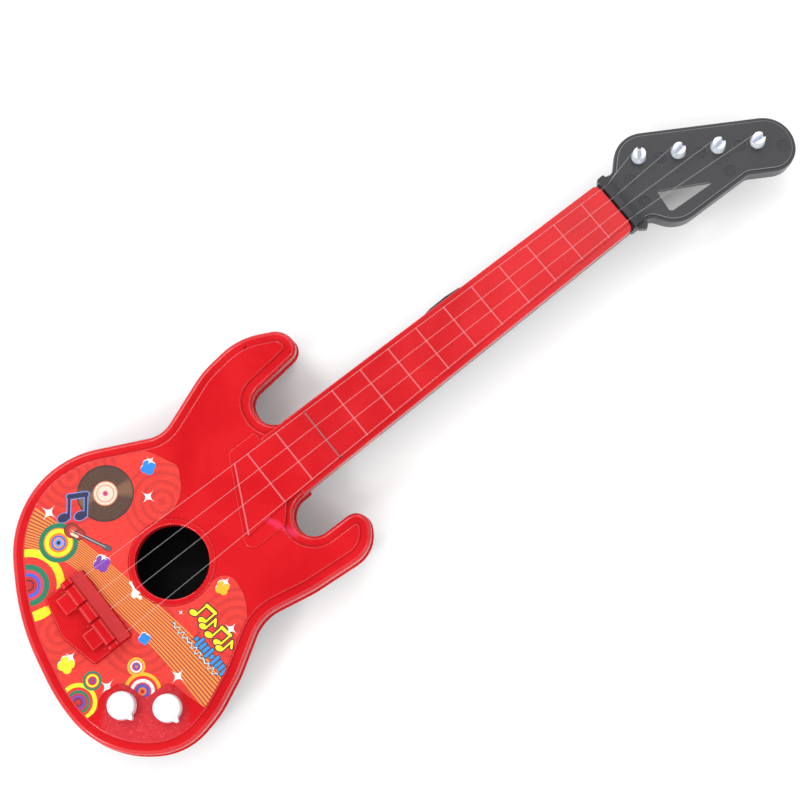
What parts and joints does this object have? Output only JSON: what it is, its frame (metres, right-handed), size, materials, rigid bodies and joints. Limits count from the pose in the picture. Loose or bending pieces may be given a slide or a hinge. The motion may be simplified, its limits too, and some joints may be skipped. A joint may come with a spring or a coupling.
{
  "type": "toy guitar",
  "caption": "Solid-body style toy guitar of thin plastic shells with nylon strings, slotted tuning posts, control knobs, a sound hole and a printed front label.",
  "frame": {"origin": "on the surface that the guitar lies on, under the middle of its overall box", "axes": "+X along the neck towards the headstock, +Y towards the large horn, +Z out of the front"},
  "size_m": [0.5806, 0.1889, 0.043],
  "materials": {
    "red_plastic": "glossy injection-moulded polystyrene, fine scuffs",
    "charcoal_plastic": "semi-gloss dark grey moulded plastic",
    "white_plastic": "smooth white moulded plastic",
    "printed_label": "printed laminated paper label",
    "nylon": "clear nylon line",
    "steel_screw": "zinc-plated self-tapping screws"
  },
  "bodies": {
    "guitar": {"front_shell": "red_plastic", "back_shell": "charcoal_plastic", "nut": "charcoal_plastic", "bridge": "red_plastic", "bridge_screws": "steel_screw", "body_screws": "steel_screw", "neck_screws": "steel_screw", "front_label": "printed_label", "string_1": "nylon", "string_2": "nylon", "string_3": "nylon", "string_4": "nylon"},
    "upper_knob": {"upper_knob": "white_plastic", "upper_knob_washer": "steel_screw", "upper_knob_screw": "steel_screw"},
    "lower_knob": {"lower_knob": "white_plastic", "lower_knob_washer": "steel_screw", "lower_knob_screw": "steel_screw"},
    "peg_1": {"peg_post_1": "white_plastic", "peg_key_1": "white_plastic", "string_winding_1": "nylon"},
    "peg_2": {"peg_post_2": "white_plastic", "peg_key_2": "white_plastic", "string_winding_2": "nylon"},
    "peg_3": {"peg_post_3": "white_plastic", "peg_key_3": "white_plastic", "string_winding_3": "nylon"},
    "peg_4": {"peg_post_4": "white_plastic", "peg_key_4": "white_plastic", "string_winding_4": "nylon"}
  },
  "joints": [
    {"name": "upper_knob_turn", "type": "hinge", "parent": "guitar", "child": "upper_knob", "pos_m": [-0.2593, -0.0503, 0.034], "axis": [0, 0, 1], "continuous": true},
    {"name": "lower_knob_turn", "type": "hinge", "parent": "guitar", "child": "lower_knob", "pos_m": [-0.2384, -0.0687, 0.034], "axis": [0, 0, 1], "continuous": true},
    {"name": "peg_1_turn", "type": "hinge", "parent": "guitar", "child": "peg_1", "pos_m": [0.2044, 0.0215, 0.0244], "axis": [0, 0, 1], "continuous": true},
    {"name": "peg_2_turn", "type": "hinge", "parent": "guitar", "child": "peg_2", "pos_m": [0.226, 0.0084, 0.0244], "axis": [0, 0, 1], "continuous": true},
    {"name": "peg_3_turn", "type": "hinge", "parent": "guitar", "child": "peg_3", "pos_m": [0.2476, -0.0047, 0.0244], "axis": [0, 0, 1], "continuous": true},
    {"name": "peg_4_turn", "type": "hinge", "parent": "guitar", "child": "peg_4", "pos_m": [0.2692, -0.0178, 0.0244], "axis": [0, 0, 1], "continuous": true}
  ]
}
